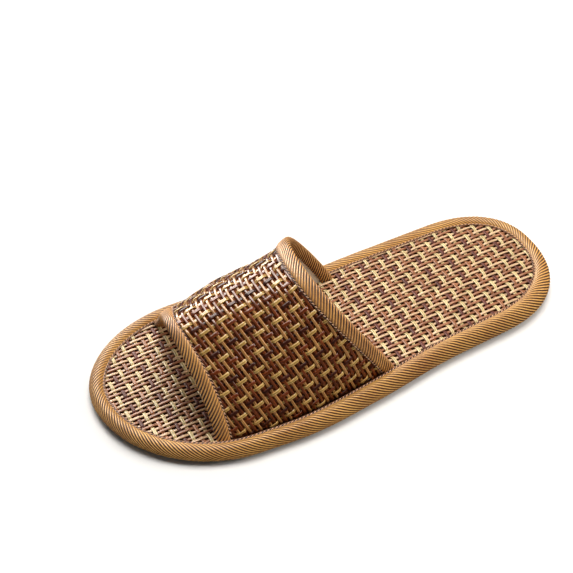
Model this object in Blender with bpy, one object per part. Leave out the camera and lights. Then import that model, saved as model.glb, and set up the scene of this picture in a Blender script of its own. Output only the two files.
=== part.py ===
"""Woven slide sandal for the left foot, about EU 42.

A flat wedge sole with a padded, mat-topped insole, a cloth tape bound round its edge, and one
wide woven strap over the forefoot with a tape bound over its front and back edge.
Units are metres in Blender; the sizes below are millimetres and are multiplied by MM.
+Y points to the toe, +X to the big-toe side of this left sandal, +Z up, floor at Z = 0.
"""
from math import cos, pi, sin

import bmesh
import bpy
import numpy as np

MM = 0.001

# Sole outline: one row for each cross-section, from heel to ball, as seen from above.
OUTLINE_COLUMNS = ("y", "little_toe_side_x", "big_toe_side_x")
OUTLINE = (
    (-85.0, -41.5, 44.5),
    (-40.0, -45.0, 44.5),
    (0.0, -51.0, 45.0),
    (45.0, -55.0, 56.0),
    (70.0, -53.5, 57.0),
)
TOE_TIP = (9.5, 134.5)
TOE_ROUNDNESS = 2.0
HEEL_TIP = (5.5, -135.5)
HEEL_ROUNDNESS = 2.3
OUTLINE_SHIFT = (-1.02, 0.5)  # centres the bound edge on the origin
END_STEPS = 11                # stations round a quarter of the toe or heel
SIDE_STEPS = 14               # stations along each side between them

# Heights: the insole top is one sloping plane, higher at the heel.
TOP_MIDDLE = 9.6
TOP_SLOPE = 0.0192
TOE_SPRING = 1.2
TOE_SPRING_START = 88.0
OUTSOLE_THICK = 2.2
GAP = 0.3

# Outsole edge, as insets from the outermost line of the bound edge.
OUTSOLE_INSET_TOP = 1.9
OUTSOLE_INSET_SIDE = 1.7
OUTSOLE_INSET_BOTTOM = 2.4
OUTSOLE_CHAMFER = 0.6

# Woven mat: thick strands lie across the insole and along the strap.
STRAND_PITCH = 3.88
STRAND_HEIGHT = 0.55
MAT_EDGE_INSET = 7.8
MAT_DEPTH = 1.6

# Tape round the sole edge: (inset, height in mm, height as a share of the bound height).
TAPE_COLUMNS = ("inset", "rise", "drop_share")
SOLE_TAPE_OUTER = (
    (8.0, 0.30, 0.0),
    (8.0, 0.95, 0.0),
    (6.2, 1.50, 0.0),
    (4.2, 1.70, 0.0),
    (2.2, 1.00, 0.0),
    (0.8, 0.00, 0.15),
    (0.0, 0.00, 0.45),
    (0.2, 0.00, 0.78),
    (1.0, GAP, 1.0),
)
SOLE_TAPE_INNER = (
    (1.9, GAP, 1.0),
    (1.0, 0.00, 0.75),
    (0.8, 0.00, 0.45),
    (1.6, -0.10, 0.12),
    (2.7, 0.30, 0.0),
    (4.3, 0.90, 0.0),
    (6.2, 0.70, 0.0),
)
INSOLE_EDGE = (
    (2.5, GAP, 1.0),
    (1.5, 0.00, 0.75),
    (1.25, 0.00, 0.45),
    (2.05, -0.15, 0.15),
    (3.0, -0.10, 0.0),
    (4.35, 0.50, 0.0),
    (6.3, 0.30, 0.0),
    (9.0, -STRAND_HEIGHT, 0.0),
)

# Strap: one row for its front rim and one for its back rim, blended in between.
STRAP_COLUMNS = ("little_toe_side_y", "big_toe_side_y", "height", "crest_power", "foot_power",
                 "lean", "lean_power", "crest_shift", "far_power", "far_set")
STRAP_FRONT = (89.3, 84.6, 47.4, 1.75, 1.0, 8.4, 1.8, 0.0, 1.42, 0.0)
STRAP_BACK = (-14.0, -17.4, 63.0, 2.04, 0.38, 41.2, 1.06, 0.04, 2.35, 3.0)
STRAP_INSET = 9.5             # outer face at its foot, from the outermost line of the sole
WALL_THICK = 1.6
FOOT_HEIGHT = 6.0             # below this the wall is measured level, so its feet stand flat
RIB_COUNT = 44
RIB_FLOATS = 14               # raised and sunk stretches along a rib
RIB_SUNK = 0.12

# Tape over a strap rim.
RIM_TAPE_WIDTH = 8.0
RIM_TAPE_INSIDE = 7.0
FRONT_TAPE_TUCK = 2.6         # narrower by this at the crest of the front rim
RIM_TAPE_THICK = 0.7
RIM_ROUND = 1.1

ARCH_SAMPLES = 160
INSIDE_ROWS = 5               # rows of the smooth inner wall between the two rim tapes


def clear_scene():
    for item in list(bpy.data.objects):
        bpy.data.objects.remove(item, do_unlink=True)


def side_line(column):
    """Points of one side of the sole from heel tip to toe tip, as (x, y) in millimetres."""
    ys = np.array([row[0] for row in OUTLINE])
    xs = np.array([row[column] for row in OUTLINE])
    slopes = np.gradient(xs, ys)

    def end_arc(tip, roundness, index):
        points = []
        for step in range(1, END_STEPS + 1):
            turn = 0.5 * pi * step / END_STEPS
            y = ys[index] + (tip[1] - ys[index]) * sin(turn) ** (2 / roundness)
            keep = max(cos(turn), 0.0) ** (2 / roundness)
            x = tip[0] + (xs[index] + slopes[index] * (y - ys[index]) - tip[0]) * keep
            points.append((x, y))
        return points

    middle = []
    for step in range(SIDE_STEPS + 1):
        y = ys[0] + (ys[-1] - ys[0]) * step / SIDE_STEPS
        i = min(int(np.searchsorted(ys, y, side="right")) - 1, len(ys) - 2)
        h = ys[i + 1] - ys[i]
        u = (y - ys[i]) / h
        x = (xs[i] * (1 + 2 * u) * (1 - u) ** 2 + slopes[i] * h * u * (1 - u) ** 2
             + xs[i + 1] * u * u * (3 - 2 * u) + slopes[i + 1] * h * u * u * (u - 1))
        middle.append((x, y))
    heel = end_arc(HEEL_TIP, HEEL_ROUNDNESS, 0)[::-1]
    toe = end_arc(TOE_TIP, TOE_ROUNDNESS, -1)
    return heel + middle + toe


def closed_outline():
    """The whole outline, clockwise from the heel tip up the little-toe side and back."""
    up = side_line(1)
    down = side_line(2)[::-1]
    ring = np.array(up + down[1:-1])
    return ring + np.array(OUTLINE_SHIFT)


RING = closed_outline()
TANGENT = np.roll(RING, -1, axis=0) - np.roll(RING, 1, axis=0)
TANGENT /= np.linalg.norm(TANGENT, axis=1)[:, None]
INWARD = np.column_stack((TANGENT[:, 1], -TANGENT[:, 0]))
TIP_INDEX = len(RING) // 2    # the toe tip; the heel tip is index 0


def inset_ring(inset):
    return RING + INWARD * inset


def top_z(y):
    return TOP_MIDDLE - TOP_SLOPE * y


def floor_z(y):
    past = max(0.0, y - TOE_SPRING_START) / (TOE_TIP[1] - TOE_SPRING_START)
    return TOE_SPRING * past * past


def bound_height(y):
    """From the top of the outsole to the plane of the insole top."""
    return top_z(y) - floor_z(y) - OUTSOLE_THICK


def edge_ring(row):
    """A ring of points for one row of a tape or edge table."""
    inset, rise, share = row
    return [(x, y, top_z(y) + rise - share * bound_height(y)) for x, y in inset_ring(inset)]


def side_x(inset, y, big_toe_side):
    """X of the inset outline at one Y, on the chosen side."""
    ring = inset_ring(inset)
    half = ring[TIP_INDEX:] if big_toe_side else ring[:TIP_INDEX + 1]
    order = np.argsort(half[:, 1])
    return float(np.interp(y, half[order, 1], half[order, 0]))


def mix(a, b, share):
    return a + (b - a) * share


def arch_line(share):
    """The strap's outer face at one station, 0 front rim to 1 back rim, from foot to foot."""
    (near_y, far_y, height, crest_power, foot_power, lean, power, crest, far_power, far_set) = (
        mix(a, b, share) for a, b in zip(STRAP_FRONT, STRAP_BACK))
    near = np.array((side_x(STRAP_INSET, near_y, False), near_y))
    far = np.array((side_x(STRAP_INSET, far_y, True), far_y))
    turn = np.linspace(0.0, pi, ARCH_SAMPLES)
    across = -np.cos(turn)
    powers = np.where(across > 0, far_power, crest_power)
    rise = np.maximum(1 - np.abs(across) ** powers, 0.0) ** foot_power
    rise[0] = rise[-1] = 0.0
    along = (across + 1) / 2
    x = near[0] + (far[0] - near[0]) * (along + crest * rise)
    y = near[1] + (far[1] - far_set - near[1]) * along + lean * rise ** power
    y += np.where(across > 0, far_set * (1 - rise), 0.0)
    z = top_z(y) + GAP + (height - GAP) * rise
    return np.column_stack((x, y, z))


def arch_point(share, part):
    """A point of the strap's outer face: part runs 0 to 1 by length from foot to foot."""
    line = arch_line(share)
    steps = np.linalg.norm(np.diff(line, axis=0), axis=1)
    run = np.concatenate(((0.0,), np.cumsum(steps)))
    run /= run[-1]
    return np.array([np.interp(part, run, line[:, axis]) for axis in range(3)])


def strap_frame(share, part):
    """Point, outward normal and the length of the strap along its ribs there."""
    step = 0.02
    low, high = max(0.0, part - step), min(1.0, part + step)
    across = arch_point(share, high) - arch_point(share, low)
    front, back = max(0.0, share - step), min(1.0, share + step)
    along = arch_point(back, part) - arch_point(front, part)
    normal = np.cross(along, across)
    normal /= np.linalg.norm(normal)
    return arch_point(share, part), normal, np.linalg.norm(along) / (back - front)


def rim_share(rim_distance, from_back, part):
    """The station, 0 to 1, that lies at a distance from the front or the back rim."""
    length = strap_frame(1.0 if from_back else 0.0, part)[2]
    return 1.0 - rim_distance / length if from_back else rim_distance / length


def strap_offset(share, part, out):
    """A point of the strap moved out by its normal, which is turned level near the feet."""
    point, normal, _ = strap_frame(share, part)
    level = np.array((normal[0], normal[1], 0.0)) / (normal[0] ** 2 + normal[1] ** 2)
    height = point[2] - top_z(point[1]) - GAP
    turn = min(max(1.0 - height / FOOT_HEIGHT, 0.0), 1.0)
    moved = point + (normal * (1.0 - turn) + level * turn) * out
    if part in (0.0, 1.0):
        moved[2] = top_z(moved[1]) + GAP
    return moved


def new_object(name, mesh, collection, material):
    item = bpy.data.objects.new(name, mesh)
    collection.objects.link(item)
    mesh.materials.append(material)
    return item


def mesh_from(points, faces, name):
    """A mesh from millimetre points and index faces, its faces turned outwards."""
    mesh = bpy.data.meshes.new(name)
    form = bmesh.new()
    corners = [form.verts.new([value * MM for value in point]) for point in points]
    for face in faces:
        form.faces.new([corners[i] for i in face])
    bmesh.ops.recalc_face_normals(form, faces=form.faces)
    form.to_mesh(mesh)
    form.free()
    mesh.shade_smooth()
    mesh.set_sharp_from_angle(angle=pi / 5)
    return mesh


def closed_tube(rings, name):
    """A ring-shaped body: each ring is joined to the next and the last to the first."""
    count = len(rings[0])
    points = [point for ring in rings for point in ring]
    faces = []
    for r in range(len(rings)):
        s = (r + 1) % len(rings)
        for i in range(count):
            j = (i + 1) % count
            faces.append((r * count + i, r * count + j, s * count + j, s * count + i))
    return mesh_from(points, faces, name)


def capped_stack(rings, name):
    """Stacked rings closed by strips from side to side, below the first and above the last."""
    count = len(rings[0])
    points = [point for ring in rings for point in ring]
    faces = []
    for r in range(len(rings) - 1):
        for i in range(count):
            j = (i + 1) % count
            faces.append((r * count + i, r * count + j, (r + 1) * count + j, (r + 1) * count + i))
    for base in (0, (len(rings) - 1) * count):
        faces.append((base, base + 1, base + count - 1))
        for i in range(1, TIP_INDEX - 1):
            faces.append((base + i, base + i + 1, base + count - i - 1, base + count - i))
        faces.append((base + TIP_INDEX - 1, base + TIP_INDEX, base + TIP_INDEX + 1))
    return mesh_from(points, faces, name)


def finish_material(name, color, roughness):
    material = bpy.data.materials.new(name)
    material.use_nodes = True
    shader = material.node_tree.nodes["Principled BSDF"]
    shader.inputs["Base Color"].default_value = (*color, 1.0)
    shader.inputs["Roughness"].default_value = roughness
    shader.inputs["Metallic"].default_value = 0.0
    return material


def make_outsole(collection, material):
    """Thin flat rubber sheet, bevelled at the ground and lifted a little under the toe."""
    def ring(inset, above):
        return [(x, y, floor_z(y) + above) for x, y in inset_ring(inset)]

    rings = [
        ring(OUTSOLE_INSET_BOTTOM, 0.0),
        ring(OUTSOLE_INSET_SIDE, OUTSOLE_CHAMFER),
        ring(OUTSOLE_INSET_TOP, OUTSOLE_THICK),
    ]
    return new_object("outsole", capped_stack(rings, "outsole"), collection, material)


def make_mat_field(cutters):
    """Ridged slab, one ridge for each thick strand, trimmed to the tape's inner line."""
    half_width = 75.0
    ys, heights = [], []
    count = int((TOE_TIP[1] - HEEL_TIP[1]) / STRAND_PITCH)
    for k in range(2 * count + 1):
        ys.append(HEEL_TIP[1] + k * STRAND_PITCH / 2)
        heights.append(0.0 if k % 2 else -STRAND_HEIGHT * 0.9)
    row = [(y, top_z(y) + h) for y, h in zip(ys, heights)]
    row += [(ys[-1], top_z(ys[-1]) - MAT_DEPTH), (ys[0], top_z(ys[0]) - MAT_DEPTH)]
    n = len(row)
    points = [(-half_width, y, z) for y, z in row] + [(half_width, y, z) for y, z in row]
    faces = [(i, (i + 1) % n, n + (i + 1) % n, n + i) for i in range(n)]
    faces += [tuple(range(n)), tuple(range(2 * n - 1, n - 1, -1))]
    slab = bpy.data.objects.new("mat_field", mesh_from(points, faces, "mat_field"))
    cutters.objects.link(slab)

    trim_rings = [[(x, y, z) for x, y in inset_ring(MAT_EDGE_INSET)] for z in (3.0, 20.0)]
    trim = bpy.data.objects.new("mat_trim", capped_stack(trim_rings, "mat_trim"))
    cutters.objects.link(trim)
    keep = slab.modifiers.new("trim", "BOOLEAN")
    keep.operation = "INTERSECT"
    keep.solver = "EXACT"
    keep.object = trim
    for item in (slab, trim):
        item.hide_render = True
        item.display_type = "WIRE"
    return slab


def make_insole(collection, cutters, material):
    """Padded board with a domed rim under the tape and the ridged mat on top."""
    rings = [edge_ring(row) for row in INSOLE_EDGE]
    insole = new_object("insole", capped_stack(rings, "insole"), collection, material)
    join = insole.modifiers.new("mat", "BOOLEAN")
    join.operation = "UNION"
    join.solver = "EXACT"
    join.object = make_mat_field(cutters)
    return insole


def make_sole_tape(collection, material):
    """Cloth tape folded over the insole's rim, from its inner seam down to the outsole."""
    rings = [edge_ring(row) for row in SOLE_TAPE_OUTER + SOLE_TAPE_INNER]
    return new_object("sole_binding", closed_tube(rings, "sole_binding"), collection, material)


def make_upper(collection, material):
    """One arched wall, open at toe and heel, its thick strands raised as broken ribs."""
    parts = [k / (2 * RIB_COUNT) for k in range(2 * RIB_COUNT + 1)]
    edge = RIM_ROUND + GAP
    flat_end = RIM_TAPE_WIDTH + 1.0
    columns = len(parts)

    def shares(share):
        """Stations of one row between the two rim tapes."""
        return [mix(rim_share(flat_end, False, part), rim_share(flat_end, True, part), share)
                for part in parts]

    front_edge = [rim_share(edge, False, part) for part in parts]
    back_edge = [rim_share(edge, True, part) for part in parts]

    rows = [[strap_offset(share, part, 0.0) for share, part in zip(front_edge, parts)]]
    for step in range(RIB_FLOATS + 1):
        row = []
        for k, (share, part) in enumerate(zip(shares(step / RIB_FLOATS), parts)):
            raised = (step + k // 4) % 2 == 0
            peak = STRAND_HEIGHT if raised else RIB_SUNK
            on_rib = k % 2 == 1 and 0 < step < RIB_FLOATS
            row.append(strap_offset(share, part, peak if on_rib else 0.0))
        rows.append(row)
    rows.append([strap_offset(share, part, 0.0) for share, part in zip(back_edge, parts)])

    inner_shares = [front_edge]
    inner_shares += [shares(step / (INSIDE_ROWS - 1)) for step in range(INSIDE_ROWS)]
    inner_shares.append(back_edge)
    inner_rows = [[strap_offset(share, part, -WALL_THICK) for share, part in zip(row, parts)]
                  for row in inner_shares]

    points = [point for row in rows + inner_rows for point in row]
    faces = []
    inner = len(rows) * columns

    def grid(start, count, flip):
        for r in range(count - 1):
            for k in range(columns - 1):
                a = start + r * columns + k
                quad = (a, a + 1, a + columns + 1, a + columns)
                faces.append(quad[::-1] if flip else quad)

    grid(0, len(rows), False)
    grid(inner, len(inner_rows), True)
    last_outer = (len(rows) - 1) * columns
    last_inner = inner + (len(inner_rows) - 1) * columns
    for k in range(columns - 1):
        faces.append((k, inner + k, inner + k + 1, k + 1))
        faces.append((last_outer + k, last_outer + k + 1, last_inner + k + 1, last_inner + k))
    for k in (0, columns - 1):
        outer_edge = [r * columns + k for r in range(len(rows))]
        inner_edge = [inner + r * columns + k for r in range(len(inner_rows))]
        faces.append(tuple(outer_edge + inner_edge[::-1]))
    return new_object("upper", mesh_from(points, faces, "upper"), collection, material)


def front_tuck(part):
    """How much narrower the front tape is at one part of its length, most at the crest."""
    x, y, z = arch_point(0.0, part)
    rise = (z - top_z(y) - GAP) / (STRAP_FRONT[2] - GAP)
    return FRONT_TAPE_TUCK * min(max(rise, 0.0), 1.0) ** 4.3


def make_rim_tape(name, from_back, collection, material):
    """Cloth tape folded over one rim of the strap: outer leg, rounded rim and inner leg."""
    outside = GAP + RIM_TAPE_THICK
    inside = -WALL_THICK - GAP
    middle = -WALL_THICK / 2
    profile = (
        (RIM_TAPE_WIDTH, GAP),
        (RIM_TAPE_WIDTH, outside),
        (RIM_ROUND, outside),
        (0.2, GAP),
        (0.0, middle),
        (0.2, inside + GAP),
        (RIM_ROUND, inside - RIM_TAPE_THICK),
        (RIM_TAPE_INSIDE, inside - RIM_TAPE_THICK),
        (RIM_TAPE_INSIDE, inside),
        (RIM_ROUND, inside),
        (RIM_ROUND, GAP),
    )
    sections = []
    for step in range(RIB_COUNT + 1):
        part = step / RIB_COUNT
        reach = 1.0 if from_back else 1.0 - front_tuck(part) / RIM_TAPE_WIDTH
        sections.append([
            strap_offset(rim_share(distance * reach if distance > RIM_ROUND else distance,
                                   from_back, part), part, out)
            for distance, out in profile])
    count = len(profile)
    points = [point for section in sections for point in section]
    faces = []
    for s in range(RIB_COUNT):
        for i in range(count):
            j = (i + 1) % count
            faces.append((s * count + i, s * count + j, (s + 1) * count + j, (s + 1) * count + i))
    faces.append(tuple(range(count)))
    faces.append(tuple(range(RIB_COUNT * count, (RIB_COUNT + 1) * count)))
    return new_object(name, mesh_from(points, faces, name), collection, material)


def build():
    clear_scene()
    sandal = bpy.data.collections.new("woven_slide_sandal")
    cutters = bpy.data.collections.new("cutters")
    for collection in (sandal, cutters):
        bpy.context.scene.collection.children.link(collection)
    rubber = finish_material("outsole_rubber", (0.075, 0.045, 0.03), 0.75)
    straw = finish_material("mat_straw", (0.42, 0.24, 0.13), 0.5)
    dark_straw = finish_material("strap_straw", (0.26, 0.13, 0.06), 0.45)
    tape = finish_material("tape_cloth", (0.42, 0.22, 0.07), 0.6)
    make_outsole(sandal, rubber)
    make_insole(sandal, cutters, straw)
    make_sole_tape(sandal, tape)
    make_upper(sandal, dark_straw)
    make_rim_tape("strap_front_binding", False, sandal, tape)
    make_rim_tape("strap_back_binding", True, sandal, tape)


build()
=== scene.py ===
from math import cos, pi, sin

import bpy
import numpy as np
from mathutils import Matrix, Vector


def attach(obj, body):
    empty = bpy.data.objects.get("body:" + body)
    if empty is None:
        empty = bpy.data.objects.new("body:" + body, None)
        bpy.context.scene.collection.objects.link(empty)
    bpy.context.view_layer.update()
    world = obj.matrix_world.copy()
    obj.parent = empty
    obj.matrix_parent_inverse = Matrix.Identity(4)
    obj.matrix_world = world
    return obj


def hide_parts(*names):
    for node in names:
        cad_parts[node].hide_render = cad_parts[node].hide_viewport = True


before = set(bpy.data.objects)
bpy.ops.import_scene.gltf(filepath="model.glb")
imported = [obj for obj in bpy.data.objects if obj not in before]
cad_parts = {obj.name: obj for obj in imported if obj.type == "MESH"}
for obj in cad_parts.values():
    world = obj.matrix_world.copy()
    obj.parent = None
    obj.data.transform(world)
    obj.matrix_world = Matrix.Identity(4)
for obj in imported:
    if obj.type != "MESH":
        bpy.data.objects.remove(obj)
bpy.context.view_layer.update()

bpy.ops.object.select_all(action="DESELECT")
MM = 0.001


# Floor: a plain pale sheet under the sandal, far wider than the view.
bpy.ops.mesh.primitive_plane_add(size=8.0, location=(0, 0, 0))
floor = bpy.context.object
floor.name = "floor"
floor_paint = bpy.data.materials.new("floor_paint")
floor_paint.use_nodes = True
floor_shader = floor_paint.node_tree.nodes["Principled BSDF"]
floor_shader.inputs["Base Color"].default_value = (0.80, 0.80, 0.80, 1)
floor_shader.inputs["Roughness"].default_value = 0.8
floor_shader.inputs["Specular IOR Level"].default_value = 0.15
floor.data.materials.append(floor_paint)
floor.select_set(False)
floor.visible_glossy = False


# Light: a soft lamp overhead, weak low lamps past the big-toe side and behind the heel, and a
# tall panel on the big-toe side, reaching to overhead, that only adds gloss and so whitens the
# strap's crest. The little-toe side stays in shade.
def soft_lamp(name, place, aim, size, watts, tint):
    lamp = bpy.data.lights.new(name, "AREA")
    lamp.shape = "RECTANGLE"
    lamp.size, lamp.size_y = size
    lamp.energy = watts
    lamp.color = tint
    holder = bpy.data.objects.new(name, lamp)
    holder.location = place
    holder.rotation_euler = (Vector(aim) - Vector(place)).to_track_quat("-Z", "Y").to_euler()
    bpy.context.scene.collection.objects.link(holder)


soft_lamp("overhead_key", (0.22, -0.16, 1.48), (0, 0, 0), (0.95, 0.95), 25, (1.0, 0.98, 0.95))
soft_lamp("side_fill", (0.88, 0.05, 0.33), (0, 0, 0.03), (0.5, 0.4), 6, (1.0, 0.96, 0.90))
soft_lamp("heel_fill", (-0.42, -0.92, 0.60), (0, 0, 0), (0.6, 0.5), 9, (1.0, 0.96, 0.90))
soft_lamp("tall_panel", (0.935, 0.233, 1.149), (0, 0, 0), (1.4, 3.0), 172, (1.0, 0.94, 0.86))
bpy.data.objects["tall_panel"].visible_diffuse = False
sky = bpy.data.worlds.new("studio")
sky.use_nodes = True
sky.node_tree.nodes["Background"].inputs["Color"].default_value = (1.0, 0.99, 0.97, 1)
sky.node_tree.nodes["Background"].inputs["Strength"].default_value = 0.09
bpy.context.scene.world = sky
bpy.context.scene.view_settings.view_transform = "Standard"


# Camera: off the little-toe side, above the toe and looking down over the strap to the heel.
CAMERA_PLACE = (-0.40395, 0.25261, 0.52387)
CAMERA_RIGHT = (-0.46911, -0.88298, 0.01695)
CAMERA_DOWN = (-0.63609, 0.32450, -0.70006)
CAMERA_AHEAD = (0.61264, -0.33919, -0.71388)
camera_data = bpy.data.cameras.new("camera")
camera_data.sensor_width = 36
camera_data.lens = 80.95
camera_data.clip_start = 0.05
camera = bpy.data.objects.new("camera", camera_data)
turn = Matrix((CAMERA_RIGHT, [-v for v in CAMERA_DOWN], [-v for v in CAMERA_AHEAD])).transposed()
camera.matrix_world = Matrix.Translation(CAMERA_PLACE) @ turn.to_4x4()
bpy.context.scene.collection.objects.link(camera)
bpy.context.scene.camera = camera


# Outsole: a thin flat dark rubber sheet glued under everything, moulded with a shallow tread of
# short bars. Its solid has the right shape, so it stays and gets its rubber finish here.
def new_material(name):
    material = bpy.data.materials.new(name)
    material.use_nodes = True
    tree = material.node_tree
    return material, tree, tree.nodes["Principled BSDF"]


def node(tree, kind, values=(), **settings):
    """A shader node with its settings, and fixed numbers for its sockets by name."""
    made = tree.nodes.new("ShaderNode" + kind)
    for key, value in settings.items():
        setattr(made, key, value)
    for socket, value in dict(values).items():
        made.inputs[socket].default_value = value
    return made


def wire(tree, *wires):
    """Joins sockets, each wire a node and its output, then a node and its input."""
    for giver, output, taker, socket in wires:
        tree.links.new(giver.outputs[output], taker.inputs[socket])


def blend(tree, over, under=(0, 0, 0)):
    """A mix of colours by its factor, one over the other or over what is wired to A."""
    return node(tree, "Mix", {"A": (*under, 1), "B": (*over, 1)}, data_type="RGBA")


def mottled(name, roughness, scale, detail, dark, light):
    """A plain finish in two shades that a noise blends, with its place and noise nodes."""
    material, tree, shader = new_material(name)
    shader.inputs["Roughness"].default_value = roughness
    where = node(tree, "TexCoord")
    noise = node(tree, "TexNoise", {"Scale": scale, "Detail": detail})
    shades = blend(tree, light, dark)
    wire(tree,
         (where, "Object", noise, "Vector"),
         (noise, "Fac", shades, "Factor"),
         (shades, "Result", shader, "Base Color"))
    return material, tree, shader, where, noise


def make_rubber():
    material, tree, shader, where, _ = mottled("outsole_rubber", 0.62, 45.0, 4.0,
                                               (0.028, 0.016, 0.010), (0.075, 0.045, 0.03))
    grain = node(tree, "TexNoise", {"Scale": 900.0, "Detail": 3.0})
    bars = node(tree, "TexBrick", {"Scale": 90.0, "Mortar Size": 0.035,
                                   "Brick Width": 0.9, "Row Height": 0.35}, offset=0.5)
    tread = node(tree, "Bump", {"Strength": 0.5, "Distance": 0.0006})
    rough = node(tree, "Bump", {"Strength": 0.3, "Distance": 0.0001})
    wire(tree,
         (where, "Object", grain, "Vector"),
         (where, "Object", bars, "Vector"),
         (bars, "Color", tread, "Height"),
         (grain, "Fac", rough, "Height"),
         (tread, "Normal", rough, "Normal"),
         (rough, "Normal", shader, "Normal"))
    return material


outsole = bpy.data.objects["outsole"]
outsole.data.materials.clear()
outsole.data.materials.append(make_rubber())


# Insole board: foam board covered in dark brown cloth, the ground that shows between the straws
# of the mat glued to it. Its edge is hidden by the tape that is folded over it.
OUTLINE = (  # y, then x on the little-toe side and on the big-toe side
    (-85.0, -41.5, 44.5),
    (-40.0, -45.0, 44.5),
    (0.0, -51.0, 45.0),
    (45.0, -55.0, 56.0),
    (70.0, -53.5, 57.0),
)
TOE_TIP = (9.5, 134.5)
TOE_ROUNDNESS = 2.0
HEEL_TIP = (5.5, -135.5)
HEEL_ROUNDNESS = 2.3
OUTLINE_SHIFT = (-1.02, 0.5)
END_STEPS = 40
SIDE_STEPS = 70
TOP_MIDDLE = 9.6  # height of the insole plane at the middle of the foot
TOP_SLOPE = 0.0192  # that it drops for each length toward the toe
TOE_SPRING = 1.2
TOE_SPRING_START = 88.0
OUTSOLE_THICK = 2.2
BOARD_EDGE = (  # inset, rise, share of the drop to the outsole
    (2.6, 0.30, 1.0),
    (1.7, 0.00, 0.75),
    (1.4, 0.00, 0.45),
    (2.2, -0.20, 0.15),
    (3.2, -0.15, 0.0),
    (4.5, 0.40, 0.0),
    (6.2, -0.10, 0.0),
    (7.4, -1.35, 0.0),
)


def side_line(column):
    """Points of one side of the sole from heel tip to toe tip, as (x, y) in millimetres."""
    ys = np.array([row[0] for row in OUTLINE])
    xs = np.array([row[column] for row in OUTLINE])
    slopes = np.gradient(xs, ys)

    def end_arc(tip, roundness, index):
        points = []
        for step in range(1, END_STEPS + 1):
            angle = 0.5 * pi * step / END_STEPS
            y = ys[index] + (tip[1] - ys[index]) * sin(angle) ** (2 / roundness)
            keep = max(cos(angle), 0.0) ** (2 / roundness)
            x = tip[0] + (xs[index] + slopes[index] * (y - ys[index]) - tip[0]) * keep
            points.append((x, y))
        return points

    middle = []
    for step in range(SIDE_STEPS + 1):
        y = ys[0] + (ys[-1] - ys[0]) * step / SIDE_STEPS
        i = min(int(np.searchsorted(ys, y, side="right")) - 1, len(ys) - 2)
        h = ys[i + 1] - ys[i]
        u = (y - ys[i]) / h
        x = (xs[i] * (1 + 2 * u) * (1 - u) ** 2 + slopes[i] * h * u * (1 - u) ** 2
             + xs[i + 1] * u * u * (3 - 2 * u) + slopes[i + 1] * h * u * u * (u - 1))
        middle.append((x, y))
    heel = end_arc(HEEL_TIP, HEEL_ROUNDNESS, 0)[::-1]
    toe = end_arc(TOE_TIP, TOE_ROUNDNESS, -1)
    return heel + middle + toe


def unit(ways):
    """The same directions with length one."""
    return ways / np.linalg.norm(ways, axis=-1, keepdims=True)


RING = np.array(side_line(1) + side_line(2)[::-1][1:-1]) + np.array(OUTLINE_SHIFT)
TANGENT = unit(np.roll(RING, -1, axis=0) - np.roll(RING, 1, axis=0))
INWARD = np.column_stack((TANGENT[:, 1], -TANGENT[:, 0]))
TIP_INDEX = len(RING) // 2


def inset_ring(inset):
    return RING + INWARD * inset


def top_z(y):
    return TOP_MIDDLE - TOP_SLOPE * y


def floor_z(y):
    past = np.maximum(0.0, y - TOE_SPRING_START) / (TOE_TIP[1] - TOE_SPRING_START)
    return TOE_SPRING * past * past


def edge_z(y, rise, share):
    """Height of a table row: rise above the insole plane, less a share of the whole edge."""
    return top_z(y) + rise - share * (top_z(y) - floor_z(y) - OUTSOLE_THICK)


def mesh_piece(name, points, faces, materials, slots=None, uvs=None):
    """An object at the origin from millimetre points; slots and uvs go by face and corner."""
    mesh = bpy.data.meshes.new(name)
    mesh.from_pydata((np.asarray(points) * MM).tolist(), [], faces)
    for material in materials:
        mesh.materials.append(material)
    if slots is not None:
        mesh.polygons.foreach_set("material_index", np.asarray(slots, dtype=np.int32))
    if uvs is not None:
        layer = mesh.uv_layers.new(name="run")
        layer.data.foreach_set("uv", np.asarray(uvs, dtype=np.float32).ravel())
    mesh.shade_smooth()
    mesh.validate()
    piece = bpy.data.objects.new(name, mesh)
    bpy.context.scene.collection.objects.link(piece)
    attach(piece, "root")
    return piece


def make_ground_cloth(name, dark, light):
    material, _, shader, _, _ = mottled(name, 0.9, 1200.0, 2.0, dark, light)
    shader.inputs["Specular IOR Level"].default_value = 0.04
    return material


GROUND_CLOTH = make_ground_cloth("dark_ground_cloth", (0.022, 0.005, 0.001), (0.060, 0.016, 0.004))


def make_insole_board():
    count = len(RING)
    points = []
    for inset, rise, share in BOARD_EDGE:
        ring = inset_ring(inset)
        points += [(x, y, edge_z(y, rise, share)) for x, y in ring]
    faces = []
    for r in range(len(BOARD_EDGE) - 1):
        for i in range(count):
            j = (i + 1) % count
            faces.append((r * count + i, (r + 1) * count + i, (r + 1) * count + j, r * count + j))
    for base, flip in ((0, False), ((len(BOARD_EDGE) - 1) * count, True)):
        strips = [(base, base + 1, base + count - 1)]
        for i in range(1, TIP_INDEX - 1):
            strips.append((base + i, base + i + 1, base + count - i - 1, base + count - i))
        strips.append((base + TIP_INDEX - 1, base + TIP_INDEX, base + TIP_INDEX + 1))
        faces += [strip[::-1] for strip in strips] if flip else strips
    piece = mesh_piece("insole_board", points, faces, [GROUND_CLOTH])
    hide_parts("insole")


make_insole_board()


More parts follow.
